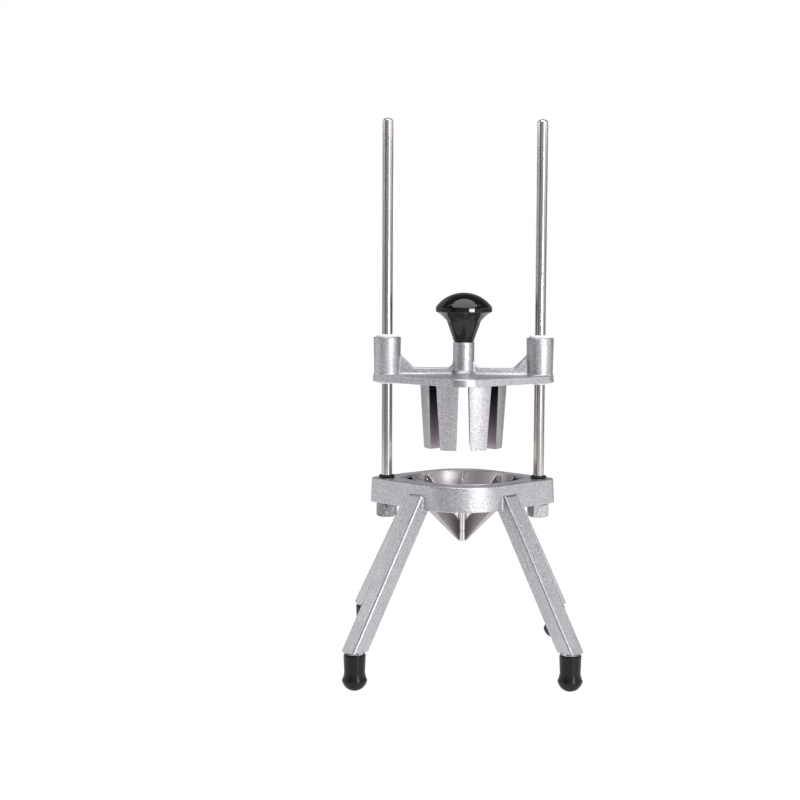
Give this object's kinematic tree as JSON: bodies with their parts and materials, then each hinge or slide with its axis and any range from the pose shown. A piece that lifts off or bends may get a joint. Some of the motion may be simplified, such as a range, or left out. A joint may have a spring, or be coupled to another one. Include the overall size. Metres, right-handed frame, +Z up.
{
  "type": "wedger press",
  "caption": "Hand press that wedges fruit: finned pusher with a ball knob slides on guide rods over a cup of radial blades, on splayed cast legs with rubber feet.",
  "frame": {"origin": "on the table surface, midway between the two guide rods", "axes": "+Z up along the guide rods, X through both rods, -Y to the front"},
  "size_m": [0.206, 0.2086, 0.488],
  "materials": {
    "cast_aluminium": "satin tumbled casting with a fine grain and polished edges",
    "blade_steel": "brushed stainless steel",
    "rod_steel": "polished stainless steel bar",
    "fastener_steel": "bright plated steel",
    "knob_plastic": "glossy black phenolic",
    "nylon": "white nylon",
    "foot_rubber": "satin black rubber",
    "bumper_rubber": "black rubber ring",
    "insert_brass": "turned brass"
  },
  "bodies": {
    "base": {"base_frame": "cast_aluminium", "foot_front_left": "foot_rubber", "foot_front_right": "foot_rubber", "foot_rear_left": "foot_rubber", "foot_rear_right": "foot_rubber", "blade_cup": "blade_steel", "blade_1": "blade_steel", "blade_2": "blade_steel", "blade_3": "blade_steel", "blade_4": "blade_steel", "blade_5": "blade_steel", "blade_6": "blade_steel", "blade_7": "blade_steel", "blade_8": "blade_steel", "core_tube": "blade_steel", "blade_rivets": "blade_steel", "guide_rod_left": "rod_steel", "guide_rod_right": "rod_steel", "rod_washer_left": "fastener_steel", "rod_washer_right": "fastener_steel", "rod_nut_left": "fastener_steel", "rod_nut_right": "fastener_steel", "bumper_left": "bumper_rubber", "bumper_right": "bumper_rubber"},
    "pusher": {"pusher_head": "cast_aluminium", "bushing_top_left": "nylon", "bushing_top_right": "nylon", "bushing_bottom_left": "nylon", "bushing_bottom_right": "nylon", "knob_stud": "fastener_steel", "knob_insert": "insert_brass", "knob": "knob_plastic"}
  },
  "joints": [
    {"name": "pusher_slide", "type": "slide", "parent": "base", "child": "pusher", "axis": [0, 0, 1], "range_m": [-0.0822, 0.187]}
  ]
}
